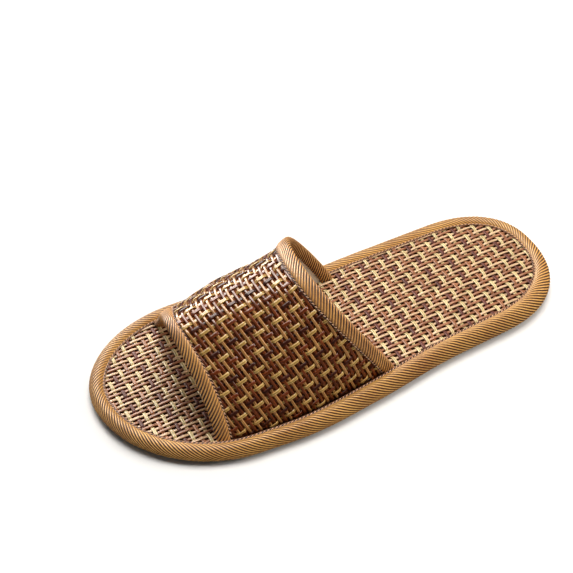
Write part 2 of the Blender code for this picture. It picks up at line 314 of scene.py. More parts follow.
# Mat: paper straws woven two over, two under. The thick straws lie across the foot and the thin
# ones run from heel to toe, each dyed cream, peach, brown, red-brown or mauve before weaving.
THICK_PITCH = 3.8845
THIN_PITCH = 2.7163
THICK_SIZE = (1.90, 0.60)  # width and thickness
THIN_SIZE = (1.30, 1.10)
THICK_LIFT = 0.56  # of a straw's middle above or below the mat's middle
THIN_LIFT = 0.20
MAT_MIDDLE = -0.60  # of the mat below the insole plane
MAT_ORIGIN = (32.11, -95.1)  # crossing of thick straw 0 with thin straw 0
MAT_INSET = 7.1
FEET = (-13.0, 88.0)  # y between which the strap's feet stand in place of the mat's edge
FEET_INSET = 10.6
SHORTEST_STRAW = 4.0
THICK_STEPS = 4  # sections of a straw for each straw that it crosses
THIN_STEPS = 3
THICK_SWAY = (0.06, 0.21)  # size of a straw's wander, and its turn for each millimetre
THIN_SWAY = (0.05, 0.17)
ANY_PHASE = 6.3  # a whole turn
TWILL_PHASE = 1.5  # of a crossing in the four straws of the pattern
TWILL_SNAP = 2.3  # how sharply a straw passes from over to under
EASE_START = -8.0  # y from which the mat is pulled askew, toward the heel
EASE_LENGTH = 30.0
EASE_MIDDLE = 12.0  # x about which it is pulled
EASE_HALF_WIDTH = 48.0
EASE_ASIDE = (1.05, 1.6)  # pull toward the big toe at that x, and less of it at the edges
EASE_AHEAD = (0.15, 1.1)  # pull toward the heel at that x, and toward the toe at the edges
THICK_SHADES = ("cream", "mauve", "cream", "red_brown")
THIN_SHADES = ("pink_brown", "peach", "brown", "peach")
STRAW_CREASE_V = 1 / 3  # UV y of the pressed-in middle of a straw's top
CREASE_SHADE_BAND = (0.070, 0.02, 0.0, 0.7)  # in UV y from there: where the painted shade of the crease starts and is full, and its strength at each
CREASE_PAINTED_SHADE = 0.45  # painted shade in the crease, as a share of the straw's dark colour
STRAW_TIP = 0.55  # of a straw's section at its ends
DYE_STEP = 0.0137  # of the dye's pattern for each point laid before, in metres
MAT_STRAWS = (  # name, dark and light colours, gloss, lacquer
    ("cream", (0.434, 0.307, 0.127), (0.786, 0.628, 0.328), 0.10, 0.30),
    ("peach", (0.475, 0.278, 0.147), (0.862, 0.608, 0.374), 0.10, 0.30),
    ("pink_brown", (0.215, 0.080, 0.036), (0.454, 0.204, 0.107), 0.10, 0.30),
    ("brown", (0.231, 0.084, 0.038), (0.471, 0.209, 0.107), 0.10, 0.30),
    ("red_brown", (0.199, 0.071, 0.029), (0.426, 0.178, 0.080), 0.10, 0.30),
    ("mauve", (0.071, 0.022, 0.016), (0.190, 0.064, 0.046), 0.06, 0.12),
)


def ramp(tree, start, full, low=0.0, high=1.0):
    """A value that goes from low to high while what comes in goes from start to full."""
    return node(tree, "MapRange", {"From Min": start, "From Max": full,
                                   "To Min": low, "To Max": high})


def make_straw(name, dark, light, gloss, lacquer):
    """Lacquered paper straw: streaks along its run, blotches of dye, a soft gloss, and painted shade
    along the crease of its top.
    """
    material, tree, shader = new_material(name)
    shader.inputs["Specular IOR Level"].default_value = gloss
    shader.inputs["Coat Weight"].default_value = lacquer
    shader.inputs["Coat Roughness"].default_value = 0.17
    run = node(tree, "UVMap", uv_map="run")
    where = node(tree, "TexCoord")
    stretch = node(tree, "Mapping", {"Scale": (160.0, 9.0, 1.0)})
    streaks = node(tree, "TexNoise", {"Scale": 1.0, "Detail": 3.0, "Roughness": 0.65})
    blotches = node(tree, "TexNoise", {"Scale": 130.0, "Detail": 2.0})
    both = node(tree, "Mix", {"Factor": 0.5}, data_type="FLOAT")
    spread = ramp(tree, 0.32, 0.62)
    shades = blend(tree, light, dark)
    split = node(tree, "SeparateXYZ")
    # Painted shade: the pressed-in crease along the middle of each straw's top is darkened toward the
    # straw's dark colour.
    middle = node(tree, "Math", {1: STRAW_CREASE_V}, operation="SUBTRACT")
    aside = node(tree, "Math", operation="ABSOLUTE")
    crease_shade_mask = ramp(tree, *CREASE_SHADE_BAND)
    crease_shaded = blend(tree, [CREASE_PAINTED_SHADE * part for part in dark])
    rough = ramp(tree, 0.0, 1.0, 0.30, 0.48)
    relief = node(tree, "Bump", {"Strength": 0.35, "Distance": 0.00015})
    wire(tree,
         (run, "UV", stretch, "Vector"),
         (stretch, "Vector", streaks, "Vector"),
         (where, "Object", blotches, "Vector"),
         (streaks, "Fac", both, "A"),
         (blotches, "Fac", both, "B"),
         (both, "Result", spread, "Value"),
         (spread, "Result", shades, "Factor"),
         (run, "UV", split, "Vector"),
         (split, "Y", middle, 0),
         (middle, "Value", aside, 0),
         (aside, "Value", crease_shade_mask, "Value"),
         (crease_shade_mask, "Result", crease_shaded, "Factor"),
         (shades, "Result", crease_shaded, "A"),
         (crease_shaded, "Result", shader, "Base Color"),
         (streaks, "Fac", rough, "Value"),
         (rough, "Result", shader, "Roughness"),
         (streaks, "Fac", relief, "Height"),
         (relief, "Normal", shader, "Normal"))
    return material


def carried(thick, thin):
    """How far the thick straw is over the thin one where they cross: 1 over, -1 under."""
    wave = np.cos(0.5 * pi * (thick + thin - TWILL_PHASE))
    return np.clip(TWILL_SNAP * wave, -1.0, 1.0)


# Cross-section of a straw as shares of its half width and half thickness: a flattened tube
# whose middle is a little pressed in on top.
STRAW_SECTION = np.array([
    (1.0, 0.0), (0.90, 0.66), (0.54, 1.0), (0.0, 0.88), (-0.54, 1.0),
    (-0.90, 0.66), (-1.0, 0.0), (-0.6, -0.9), (0.6, -0.9),
])


def run_along(line):
    """Distance along a line of points, from 0 at its first."""
    return np.concatenate(((0.0,), np.cumsum(np.linalg.norm(np.diff(line, axis=0), axis=1))))


class StrawSheet:
    """Gathers straws, each swept along its own run, into one joined mesh."""

    def __init__(self, size):
        self.half = (size[0] / 2, size[1] / 2)
        self.points, self.faces, self.slots, self.uvs = [], [], [], []
        self.start = 0

    def lay(self, line, across, up, slot):
        """One straw along a line of points, with unit vectors across and up at each."""
        count = len(STRAW_SECTION)
        sections = len(line)
        taper = np.ones(sections)
        taper[0] = taper[-1] = STRAW_TIP
        taper = taper[:, None, None]
        ring = (line[:, None, :]
                + across[:, None, :] * (STRAW_SECTION[None, :, :1] * self.half[0] * taper)
                + up[:, None, :] * (STRAW_SECTION[None, :, 1:] * self.half[1] * taper))
        self.points.append(ring.reshape(-1, 3))
        run = run_along(line) * MM + self.start * DYE_STEP
        base = self.start
        for r in range(sections - 1):
            for k in range(count):
                n = (k + 1) % count
                a, b = base + r * count, base + (r + 1) * count
                self.faces.append((a + k, a + n, b + n, b + k))
                v, w = k / count, (k + 1) / count
                self.uvs += [(run[r], v), (run[r], w), (run[r + 1], w), (run[r + 1], v)]
        self.faces.append(tuple(base + k for k in range(count))[::-1])
        self.faces.append(tuple(base + (sections - 1) * count + k for k in range(count)))
        self.uvs += [(run[0], k / count) for k in range(count)][::-1]
        self.uvs += [(run[-1], k / count) for k in range(count)]
        self.slots += [slot] * ((sections - 1) * count + 2)
        self.start += sections * count

    def finish(self, name, materials, replaced, slot):
        piece = mesh_piece(name, np.concatenate(self.points), self.faces, materials,
                           self.slots, self.uvs)
        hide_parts(replaced)


def crossings(ring, fixed_axis, value):
    """Sorted pairs of places where a line of constant x or y enters and leaves the ring."""
    other = 1 - fixed_axis
    ends = np.roll(ring, -1, axis=0)
    a, b = ring[:, fixed_axis] - value, ends[:, fixed_axis] - value
    hit = (a < 0) != (b < 0)
    share = a[hit] / (a[hit] - b[hit])
    places = np.sort(ring[hit, other] + share * (ends[hit, other] - ring[hit, other]))
    return [(places[k], places[k + 1]) for k in range(0, len(places) - 1, 2)]


chance = np.random.default_rng(7)


def eased(x, y):
    """How far the heel part of the mat is pulled askew by its edge tape, toward big toe and toe."""
    heel = np.clip((EASE_START - y) / EASE_LENGTH, 0.0, 1.0)
    pull = ((EASE_MIDDLE - x) / EASE_HALF_WIDTH) ** 2
    return heel * (EASE_ASIDE[0] - EASE_ASIDE[1] * pull), heel * (EASE_AHEAD[1] * pull - EASE_AHEAD[0])


def weave_mat():
    names = [row[0] for row in MAT_STRAWS]
    materials = [make_straw("mat_" + row[0], *row[1:]) for row in MAT_STRAWS]
    under_strap = (RING[:, 1] > FEET[0]) & (RING[:, 1] < FEET[1])
    trim = RING + INWARD * np.where(under_strap, FEET_INSET, MAT_INSET)[:, None]
    ahead = np.array((0.0, 1.0, -TOP_SLOPE)) / np.hypot(1.0, TOP_SLOPE)
    up = np.array((0.0, TOP_SLOPE, 1.0)) / np.hypot(1.0, TOP_SLOPE)
    pitches = (THIN_PITCH, THICK_PITCH)
    for name, axis, size, rise, sections, sway, across, shades in (
            ("mat_thick_straws", 1, THICK_SIZE, THICK_LIFT, THICK_STEPS, THICK_SWAY,
             ahead, THICK_SHADES),
            ("mat_thin_straws", 0, THIN_SIZE, -THIN_LIFT, THIN_STEPS, THIN_SWAY,
             (-1.0, 0.0, 0.0), THIN_SHADES)):
        sheet = StrawSheet(size)
        other = 1 - axis
        first = int((MAT_ORIGIN[axis] - trim[:, axis].max()) / pitches[axis]) - 1
        last = int((MAT_ORIGIN[axis] - trim[:, axis].min()) / pitches[axis])
        for number in range(first, last + 1):
            place = MAT_ORIGIN[axis] - number * pitches[axis]
            for low, high in crossings(trim, axis, place):
                if high - low < SHORTEST_STRAW:
                    continue
                steps = max(int((high - low) / pitches[other] * sections), 4)
                run = np.linspace(low, high, steps)
                pull = eased(run, place) if axis else eased(place, run)
                crossed = (MAT_ORIGIN[other] - run + pull[other]) / pitches[other]
                lift = rise * carried(number, crossed)
                wander = sway[0] * np.sin(run * sway[1] + chance.uniform(0, ANY_PHASE))
                aside = place + wander + pull[axis]
                xs, ys = (run, aside) if axis else (aside, run)
                line = np.column_stack((xs, ys, top_z(ys) + MAT_MIDDLE + lift))
                sheet.lay(line, np.tile(across, (steps, 1)), np.tile(up, (steps, 1)),
                          names.index(shades[number % 4]))
        sheet.finish(name, materials, "insole", "mat_straw")


weave_mat()


# Edge tape: golden-brown twill tape cut on the bias, folded over a soft filler round the board's
# edge and sewn down along its hem. Its free edge stands up a little, and its ribs cross it aslant.
EDGE_TAPE_OUTER = (  # inset, rise, share of the drop to the outsole, share of the ribs
    (8.25, 0.05, 0.0, 0.0),
    (8.15, 0.42, 0.0, 0.2),
    (7.95, 0.42, 0.0, 0.2),
    (7.75, 0.12, 0.0, 0.2),
    (7.1, 0.12, 0.0, 0.2),
    (6.6, 0.72, 0.0, 0.4),
    (6.0, 1.16, 0.0, 0.6),
    (5.2, 1.46, 0.0, 0.7),
    (4.2, 1.62, 0.0, 0.85),
    (3.1, 1.46, 0.0, 1.0),
    (2.1, 1.00, 0.0, 1.0),
    (1.2, 0.45, 0.08, 1.0),
    (0.55, 0.00, 0.22, 1.0),
    (0.2, 0.00, 0.40, 1.0),
    (0.1, 0.00, 0.58, 1.0),
    (0.25, 0.00, 0.76, 0.9),
    (0.65, 0.00, 0.90, 0.6),
    (1.15, 0.30, 1.0, 0.0),
)
EDGE_TAPE_INNER = (
    (2.0, 0.35, 1.0, 0.0),
    (1.1, 0.00, 0.75, 0.0),
    (0.95, 0.00, 0.45, 0.0),
    (1.7, 0.00, 0.12, 0.0),
    (2.8, 0.40, 0.0, 0.0),
    (4.4, 0.95, 0.0, 0.0),
    (6.2, 0.45, 0.0, 0.0),
)
BOUND_HEIGHT = 7.5  # of the whole edge, near enough for the tape's own directions
HEEL_BULGE = 2.0  # of the filler at the little-toe corner of the heel
HEEL_BULGE_WAY = (-0.70, -0.71)
HEEL_BULGE_POWER = 5
HEEL_BULGE_INSET = 4.4  # at which the bulge begins, full after the blend
HEEL_BULGE_BLEND = 4.0
RIB_PITCH = 2.45  # along the tape
RIB_STEPS = 5  # sections of the tape for each rib
RIB_HEIGHT = 0.46
RIB_POWER = 0.6  # below 1 for a full rib with a narrow groove
RIB_SLANT = 1.6  # run of a rib along the tape for each length across it
RIB_GROOVE_SHADE = (0.10, 0.32)  # where the painted shade of a groove starts and is full, in ribs from a rib's top
GROOVE_FADE = (0.0016, 0.0065, 0.6)  # metres across where the painted groove shade is faint and full, how faint
SEAM_PLACE = 0.0012  # metres across the tape from its free edge
SEAM_SHADE = (0.0008, 0.0005)  # metres from the seam where its painted shadow starts and is full
FREE_SHADE = (0.0010, 0.0006)  # the same of the free edge's painted shade, where the tape meets the mat, in metres across


def make_twill_tape(name, gloss_level, groove_shade, hem_shade, seam_shadow, dark, light):
    """Ribbed cloth tape: UV x counts the ribs, UV y is the way across in metres. Painted shade darkens
    its rib grooves, its seam and its free edge.
    """
    material, tree, shader = new_material(name)
    shader.inputs["Specular IOR Level"].default_value = gloss_level
    run = node(tree, "UVMap", uv_map="run")
    where = node(tree, "TexCoord")
    split = node(tree, "SeparateXYZ")
    phase = node(tree, "Math", operation="FRACT")
    fold = node(tree, "Math", {1: 0.5}, operation="SUBTRACT")
    centre = node(tree, "Math", operation="ABSOLUTE")
    grooves = ramp(tree, *RIB_GROOVE_SHADE)
    gloss = ramp(tree, 0.0, 1.0, 0.32, 0.9)
    threads_map = node(tree, "Mapping", {"Scale": (7.0, 1400.0, 1.0)})
    threads = node(tree, "TexNoise", {"Scale": 1.0, "Detail": 2.0})
    patches = node(tree, "TexNoise", {"Scale": 60.0, "Detail": 3.0})
    both = node(tree, "Mix", {"Factor": 0.45}, data_type="FLOAT")
    spread = ramp(tree, 0.33, 0.62)
    shades = blend(tree, light, dark)
    # Painted shade: the rib grooves are darkened toward the groove colour, fainter near the free edge.
    groove_shaded = blend(tree, groove_shade)
    drawn = ramp(tree, *GROOVE_FADE)
    shown = node(tree, "Math", operation="MULTIPLY")
    # Painted shadow: a dark line in the groove that the seam pulls into the tape.
    from_seam = node(tree, "Math", {1: SEAM_PLACE}, operation="SUBTRACT")
    aside = node(tree, "Math", operation="ABSOLUTE")
    seam_shadow_mask = ramp(tree, *SEAM_SHADE)
    # Painted shade: the tape's free edge, where it meets the mat, is darkened toward the hem colour.
    free_edge_shade_mask = ramp(tree, *FREE_SHADE)
    free_edge_shaded = blend(tree, hem_shade)
    seam_shadowed = blend(tree, seam_shadow)
    relief = node(tree, "Bump", {"Strength": 0.4, "Distance": 0.0001})
    wire(tree,
         (run, "UV", split, "Vector"),
         (split, "X", phase, 0),
         (phase, "Value", fold, 0),
         (fold, "Value", centre, 0),
         (centre, "Value", grooves, "Value"),
         (run, "UV", threads_map, "Vector"),
         (threads_map, "Vector", threads, "Vector"),
         (where, "Object", patches, "Vector"),
         (threads, "Fac", both, "A"),
         (patches, "Fac", both, "B"),
         (both, "Result", spread, "Value"),
         (spread, "Result", shades, "Factor"),
         (shades, "Result", groove_shaded, "A"),
         (split, "Y", drawn, "Value"),
         (drawn, "Result", shown, 0),
         (grooves, "Result", shown, 1),
         (shown, "Value", groove_shaded, "Factor"),
         (shown, "Value", gloss, "Value"),
         (gloss, "Result", shader, "Roughness"),
         (split, "Y", from_seam, 0),
         (from_seam, "Value", aside, 0),
         (aside, "Value", seam_shadow_mask, "Value"),
         (seam_shadow_mask, "Result", seam_shadowed, "Factor"),
         (split, "Y", free_edge_shade_mask, "Value"),
         (free_edge_shade_mask, "Result", free_edge_shaded, "Factor"),
         (groove_shaded, "Result", free_edge_shaded, "A"),
         (free_edge_shaded, "Result", seam_shadowed, "A"),
         (seam_shadowed, "Result", shader, "Base Color"),
         (threads, "Fac", relief, "Height"),
         (relief, "Normal", shader, "Normal"))
    return material


# The groove, hem and seam colours are painted shade: in the rib grooves, along the free edge next to
# the mat, and in the seam's groove.
TAPE = make_twill_tape("golden_twill_tape", gloss_level=0.3,
                       groove_shade=(0.050, 0.012, 0.002), hem_shade=(0.19, 0.070, 0.016),
                       seam_shadow=(0.030, 0.007, 0.001),
                       dark=(0.43, 0.175, 0.033), light=(0.79, 0.425, 0.102))
RING_STEP = np.linalg.norm(np.roll(RING, -1, axis=0) - RING, axis=1)
RING_RUN = np.concatenate(((0.0,), np.cumsum(RING_STEP)))
RING_LENGTH = RING_RUN[-1]


def along_edge(run, inset):
    """Point of the edge at a distance round it, moved inwards, and the inward direction."""
    run = np.mod(run, RING_LENGTH)
    closed = np.vstack((RING, RING[:1]))
    inward = np.vstack((INWARD, INWARD[:1]))
    x = np.interp(run, RING_RUN, closed[:, 0])
    y = np.interp(run, RING_RUN, closed[:, 1])
    nx = np.interp(run, RING_RUN, inward[:, 0])
    ny = np.interp(run, RING_RUN, inward[:, 1])
    return x + nx * inset, y + ny * inset, nx, ny


def rib_height(step):
    """Rounded rib with a narrow groove, as a share of its height."""
    return sin(pi * (step % RIB_STEPS) / RIB_STEPS) ** RIB_POWER


def tape_section(aside, level, outer):
    """Distance across a tape at each row of its section, there and back, and the outward way."""
    reach = np.hypot(np.diff(aside), np.diff(level))
    across = np.concatenate(((0.0,), np.cumsum(reach[:outer - 1])))
    across = np.concatenate((across, across[-1] - np.cumsum(reach[outer - 1:])))
    step_aside = np.roll(aside, -1) - np.roll(aside, 1)
    step_up = np.roll(level, -1) - np.roll(level, 1)
    size = np.hypot(step_aside, step_up)
    return across, step_up / size, -step_aside / size


def tape_faces(steps, rings, across):
    """Faces between rings of a tape's section, with UV x in ribs and UV y in metres across."""
    count = len(across)
    faces, uvs = [], []
    for i in range(steps):
        j = (i + 1) % rings
        for k in range(count):
            n = (k + 1) % count
            faces.append((i * count + k, j * count + k, j * count + n, i * count + n))
            u, w = i / RIB_STEPS, (i + 1) / RIB_STEPS
            a, b = across[k] * MM, across[n] * MM
            uvs += [(u, a), (w, a), (w, b), (u, b)]
    return faces, uvs


def make_edge_tape():
    inset, rise, share, rib = np.array(EDGE_TAPE_OUTER + EDGE_TAPE_INNER).T
    across, normal_in, normal_up = tape_section(inset, rise - share * BOUND_HEIGHT,
                                                len(EDGE_TAPE_OUTER))
    stations = round(RING_LENGTH / RIB_PITCH) * RIB_STEPS
    points = []
    for i in range(stations):
        run = RING_LENGTH * i / stations - RIB_SLANT * across
        push = RIB_HEIGHT * rib_height(i) * rib
        x, y, nx, ny = along_edge(run, inset)
        facing = np.maximum(-nx * HEEL_BULGE_WAY[0] - ny * HEEL_BULGE_WAY[1], 0.0)
        near_rim = np.clip((HEEL_BULGE_INSET - inset) / HEEL_BULGE_BLEND, 0.0, 1.0)
        inwards = normal_in * push - HEEL_BULGE * facing ** HEEL_BULGE_POWER * near_rim
        x = x + nx * inwards
        y = y + ny * inwards
        z = edge_z(y, rise, share) + normal_up * push
        points.append(np.column_stack((x, y, z)))
    faces, uvs = tape_faces(stations, stations, across)
    piece = mesh_piece("edge_tape", np.concatenate(points), faces, [TAPE], uvs=uvs)
    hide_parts("sole_binding")


make_edge_tape()


# Edge seam: pale pink cotton sewn through tape, mat and board in a row of small leaning
# stitches, a little apart, along the groove that they pull into the tape beside its free edge.
STITCH_PITCH = 2.2
STITCH_LENGTH = 1.60
STITCH_WIDE = 0.60
STITCH_HIGH = 0.46
STITCH_LEAN = 0.38  # of a stitch across the row, as a tangent
STITCH_DIP = 0.28  # of its ends into the cloth
STITCH_AIM = 0.3  # either way along the row, to take a stitch's direction
EDGE_SEAM_INSET = 7.45
EDGE_SEAM_RISE = 0.60  # above the insole plane
EDGE_SEAM_POINTS = 900


def make_thread():
    material, _, shader, _, _ = mottled("pale_pink_thread", 0.55, 1500.0, 2.0,
                                        (0.48, 0.22, 0.11), (0.80, 0.50, 0.31))
    shader.inputs["Specular IOR Level"].default_value = 0.2
    return material


THREAD = make_thread()


def model_stitch():
    """One stitch round the origin: a pulled-out bead whose ends dip into the cloth."""
    bpy.ops.mesh.primitive_uv_sphere_add(segments=6, ring_count=6, radius=0.5,
                                         rotation=(0, pi / 2, 0))
    stitch = bpy.context.object
    bpy.ops.object.transform_apply(location=True, rotation=True, scale=True)
    bpy.ops.object.mode_set(mode="EDIT")
    bpy.ops.mesh.select_all(action="SELECT")
    bpy.ops.transform.resize(value=(STITCH_LENGTH, STITCH_WIDE, STITCH_HIGH))
    bpy.ops.object.mode_set(mode="OBJECT")
    shape = np.array([v.co[:] for v in stitch.data.vertices])
    faces = [tuple(face.vertices) for face in stitch.data.polygons]
    bpy.data.objects.remove(stitch)
    shape[:, 2] -= STITCH_DIP * (shape[:, 0] / (STITCH_LENGTH / 2)) ** 2
    shape[:, 1] += STITCH_LEAN * shape[:, 0]
    return shape, faces


STITCH_SHAPE, STITCH_FACES = model_stitch()


def read_line(places, run, line):
    """Points of a line at places along it, where run gives the place of each of its own."""
    return np.column_stack([np.interp(places, run, column) for column in line.T])


def sew(name, line, up, replaced):
    """Copies of the stitch in a row along a line of points, joined in one piece."""
    run = run_along(line)
    places = np.arange(STITCH_PITCH / 2, run[-1], STITCH_PITCH)
    at = read_line(places, run, line)
    ahead = unit(read_line(places + STITCH_AIM, run, line)
                 - read_line(places - STITCH_AIM, run, line))
    side = unit(np.cross(read_line(places, run, up), ahead))
    raised = np.cross(ahead, side)
    points = (at[:, None] + ahead[:, None] * STITCH_SHAPE[None, :, :1]
              + side[:, None] * STITCH_SHAPE[None, :, 1:2]
              + raised[:, None] * STITCH_SHAPE[None, :, 2:])
    count = len(STITCH_SHAPE)
    faces = [tuple(v + s * count for v in face) for s in range(len(places)) for face in STITCH_FACES]
    piece = mesh_piece(name, points.reshape(-1, 3), faces, [THREAD])
    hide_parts(replaced)


def sew_edge():
    run = np.linspace(0.0, RING_LENGTH, EDGE_SEAM_POINTS)
    x, y, _, _ = along_edge(run, EDGE_SEAM_INSET)
    line = np.column_stack((x, y, top_z(y) + EDGE_SEAM_RISE))
    up = np.tile((0.0, TOP_SLOPE, 1.0), (len(run), 1))
    sew("edge_seam", line, up, "sole_binding")


sew_edge()


# Strap wall: brown cloth outside and a pale cream brushed lining inside, glued to the back of the
# woven straw and caught in the sole's seam at both feet.
STRAP_INSET = 9.5
STRAP_GAP = 0.3  # between the strap's feet and the insole plane
FOOT_HEIGHT = 6.0  # over which the strap's thickness turns level toward its feet
ARCH_POINTS = 400
SHARE_REACH = (-0.04, 1.04, 73)  # of the strap's surface past its rims, and its steps
PART_REACH = (-0.2, 1.2, 281)  # the same past its feet
RUN_ON = 0.25  # straight length added past each foot, as a share of the arch
WALL_OUTSIDE = -1.15  # of the wall's faces, out from the strap's face
WALL_INSIDE = -1.75
WALL_SHARES = (0.012, 0.988, 40)  # first, last, how many
WALL_PARTS = (-0.03, 1.03, 130)
# The two rims: y of the foot on the little-toe side and on the big-toe side, height, roundness
# of the crest and of the feet, lean of the crest toward the toe and how sharply that starts, and
# shift of the crest, then the big-toe side's own roundness and its set toward the heel.
STRAP_FRONT = (89.3, 84.6, 47.4, 1.75, 1.0, 8.4, 1.8, 0.0, 1.42, 0.0)
STRAP_BACK = (-14.0, -17.4, 63.0, 2.04, 0.38, 41.2, 1.06, 0.04, 2.35, 3.0)


def side_x(inset, y, big_toe_side):
    ring = inset_ring(inset)
    half = ring[TIP_INDEX:] if big_toe_side else ring[:TIP_INDEX + 1]
    half = half[half[:, 1].argsort()]
    return float(np.interp(y, half[:, 1], half[:, 0]))


def arch_line(share):
    """The strap's outer face at one station, 0 front rim to 1 back rim, from foot to foot."""
    (near_y, far_y, height, crest_power, foot_power, lean, power, crest, far_power, far_set) = (
        a + (b - a) * share for a, b in zip(STRAP_FRONT, STRAP_BACK))
    near = np.array((side_x(STRAP_INSET, near_y, False), near_y))
    far = np.array((side_x(STRAP_INSET, far_y, True), far_y))
    angle = np.linspace(0.0, pi, ARCH_POINTS)
    across = -np.cos(angle)
    powers = np.where(across > 0, far_power, crest_power)
    rise = np.maximum(1 - np.abs(across) ** powers, 0.0) ** foot_power
    rise[0] = rise[-1] = 0.0
    along = (across + 1) / 2
    x = near[0] + (far[0] - near[0]) * (along + crest * rise)
    y = near[1] + (far[1] - far_set - near[1]) * along + lean * rise ** power
    y += np.where(across > 0, far_set * (1 - rise), 0.0)
    z = top_z(y) + STRAP_GAP + (height - STRAP_GAP) * rise
    return np.column_stack((x, y, z))


class StrapSurface:
    """The strap's outer face by share, front rim to back rim, and part, near foot to far foot.
    It runs on a little past its rims and straight on past its feet."""

    def __init__(self):
        self.shares = np.linspace(*SHARE_REACH)
        self.parts = np.linspace(*PART_REACH)
        rows, self.lengths = [], []
        for share in self.shares:
            line = arch_line(share)
            run = run_along(line)
            length = run[-1]
            start = line[0] + (line[0] - line[3]) / run[3] * length * RUN_ON
            end = line[-1] + (line[-1] - line[-4]) / (run[-1] - run[-4]) * length * RUN_ON
            line = np.vstack((start, line, end))
            run = np.concatenate(((-RUN_ON * length,), run, ((1 + RUN_ON) * length,))) / length
            rows.append(read_line(self.parts, run, line))
            self.lengths.append(length)
        self.face = np.array(rows)
        normal = unit(np.cross(np.gradient(self.face, axis=0), np.gradient(self.face, axis=1)))
        if normal[len(self.shares) // 2, len(self.parts) // 2, 2] < 0:
            normal = -normal
        level = normal.copy()
        level[:, :, 2] = 0
        level /= (normal[:, :, 0] ** 2 + normal[:, :, 1] ** 2 + 1e-9)[:, :, None]
        height = self.face[:, :, 2] - top_z(self.face[:, :, 1]) - STRAP_GAP
        bend = np.clip(1.0 - height / FOOT_HEIGHT, 0.0, 1.0)[:, :, None]
        self.out = normal * (1 - bend) + level * bend
        step = np.linalg.norm(np.diff(self.face, axis=0), axis=2)
        run = np.vstack((np.zeros(len(self.parts)), np.cumsum(step, axis=0)))
        front, back = (np.array([np.interp(rim, self.shares, column) for column in run.T])
                       for rim in (0.0, 1.0))
        self.from_front = run - front
        self.from_back = back - run

    def at(self, grid, share, part):
        """A grid read at shares and parts, blended between its nearest four points."""
        u = (share - self.shares[0]) / (self.shares[1] - self.shares[0])
        v = (part - self.parts[0]) / (self.parts[1] - self.parts[0])
        i = np.clip(u.astype(int), 0, len(self.shares) - 2)
        j = np.clip(v.astype(int), 0, len(self.parts) - 2)
        u, v = u - i, v - j
        if grid.ndim == 3:
            u, v = u[..., None], v[..., None]
        return ((1 - u) * (1 - v) * grid[i, j] + u * (1 - v) * grid[i + 1, j]
                + (1 - u) * v * grid[i, j + 1] + u * v * grid[i + 1, j + 1])

    def point(self, share, part, out):
        share, part, out = np.broadcast_arrays(*(np.asarray(v, float) for v in (share, part, out)))
        return self.at(self.face, share, part) + self.at(self.out, share, part) * out[..., None]

    def length(self, share):
        return np.interp(share, self.shares, self.lengths)

    def share_at(self, distance, part, from_back=False):
        """The share that lies at a distance from the front or the back rim, at one part."""
        column = self.at(self.from_back if from_back else self.from_front,
                         self.shares, np.full(len(self.shares), part))
        if from_back:
            return np.interp(distance, column[::-1], self.shares[::-1])
        return np.interp(distance, column, self.shares)


STRAP = StrapSurface()


def make_lining():
    material, tree, shader, _, felt = mottled("pale_lining", 0.85, 500.0, 4.0,
                                              (0.70, 0.60, 0.48), (0.92, 0.84, 0.72))
    shader.inputs["Sheen Weight"].default_value = 0.3
    relief = node(tree, "Bump", {"Strength": 0.4, "Distance": 0.0003})
    wire(tree,
         (felt, "Fac", relief, "Height"),
         (relief, "Normal", shader, "Normal"))
    return material


def recalculate(piece):
    """Turns all faces outwards."""
    bpy.context.view_layer.objects.active = piece
    piece.select_set(True)
    bpy.ops.object.mode_set(mode="EDIT")
    bpy.ops.mesh.select_all(action="SELECT")
    bpy.ops.mesh.normals_make_consistent(inside=False)
    bpy.ops.object.mode_set(mode="OBJECT")
    piece.select_set(False)


def make_strap_wall():
    share, part = np.meshgrid(np.linspace(*WALL_SHARES), np.linspace(*WALL_PARTS), indexing="ij")
    outside = STRAP.point(share, part, WALL_OUTSIDE).reshape(-1, 3)
    inside = STRAP.point(share, part, WALL_INSIDE).reshape(-1, 3)
    rows, cols = share.shape
    half = rows * cols
    faces, slots = [], []
    for i in range(rows - 1):
        for j in range(cols - 1):
            a, d = i * cols + j, (i + 1) * cols + j
            b, c = a + 1, d + 1
            faces += [(a, b, c, d), (half + d, half + c, half + b, half + a)]
            slots += [0, 1]
    grid = np.arange(half).reshape(rows, cols)
    for side in (grid[0, ::-1], grid[-1], grid[:, 0], grid[::-1, -1]):
        for a, b in zip(side[:-1].tolist(), side[1:].tolist()):
            faces.append((a, b, half + b, half + a))
            slots.append(0)
    piece = mesh_piece("strap_wall", np.vstack((outside, inside)), faces,
                       [make_ground_cloth("brown_ground_cloth", (0.15, 0.040, 0.010),
                                          (0.22, 0.062, 0.017)), make_lining()], slots)
    recalculate(piece)
    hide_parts("upper")


make_strap_wall()


# Strap weave: the same straws, glossier, with their colours darkened as painted shade of the strap.
# The thick ones run from the front rim to the back one and the thin ones over the foot. Their ends
# are caught under the rim tapes.
STRAP_MIDDLE = -0.55  # of the weave below the strap's outer face
STRAW_ENDS = 6.4  # how far from each rim the straws end, under its tape
FOOT_CUT = 0.8  # below the insole plane, where the straws end at the feet
STRAP_THICK_SIZE = (1.85, 0.60)
STRAP_THIN_SIZE = (1.46, 0.90)
THICK_STRAWS = (-28, 24)  # numbers of the straws that may cross the strap
THIN_STRAWS = (-30, 30)
THICK_START = 22.5  # of thick straw 0 down from the middle of the front rim
THICK_CLIMB = 10.6  # of a thick straw toward the back rim
THICK_STRETCH = 1.013  # of the mat's pitch, bent over the foot
THIN_START = 43.9  # of thin straw 0 from the front rim, at the middle
THIN_BOW = 56.5  # of its ends toward the heel, times the square of the part from the middle
THIN_STRETCH = 1.021
THICK_POINTS = 400
THICK_PARTS = (-0.15, 1.15)
THICK_MISSES = (-0.02, 1.02)  # parts that a thick straw has to come between
THIN_PARTS = (-0.03, 1.03, 430)
